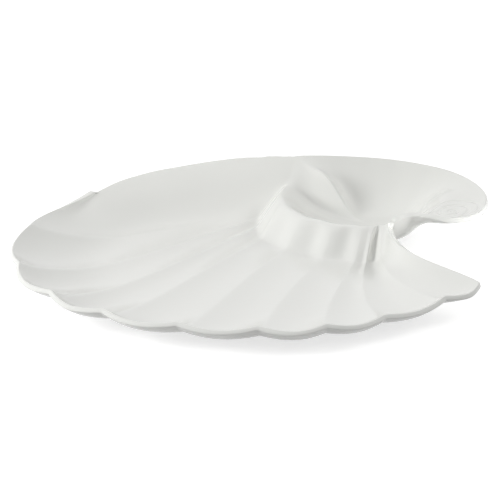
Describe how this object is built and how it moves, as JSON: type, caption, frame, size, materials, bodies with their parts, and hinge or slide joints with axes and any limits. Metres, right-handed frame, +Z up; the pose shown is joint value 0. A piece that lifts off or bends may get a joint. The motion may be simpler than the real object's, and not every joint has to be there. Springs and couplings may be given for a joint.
{
  "type": "appetizer dish",
  "caption": "Shell-shaped white ceramic serving dish: a fluted fan-shaped plate with a scalloped rim, a raised dip bowl at the back right, and a notch between the bowl's coil and a horn.",
  "frame": {"origin": "centre of the bounding box in plan, at the level of the foot ring's underside", "axes": "+X towards the notch and the horn tip, +Y towards the dip bowl and the back rim, +Z up"},
  "size_m": [0.3046, 0.2682, 0.0407],
  "materials": {
    "white_glaze": "gloss"
  },
  "bodies": {
    "root": {"shell_dish": "white_glaze"}
  },
  "joints": []
}
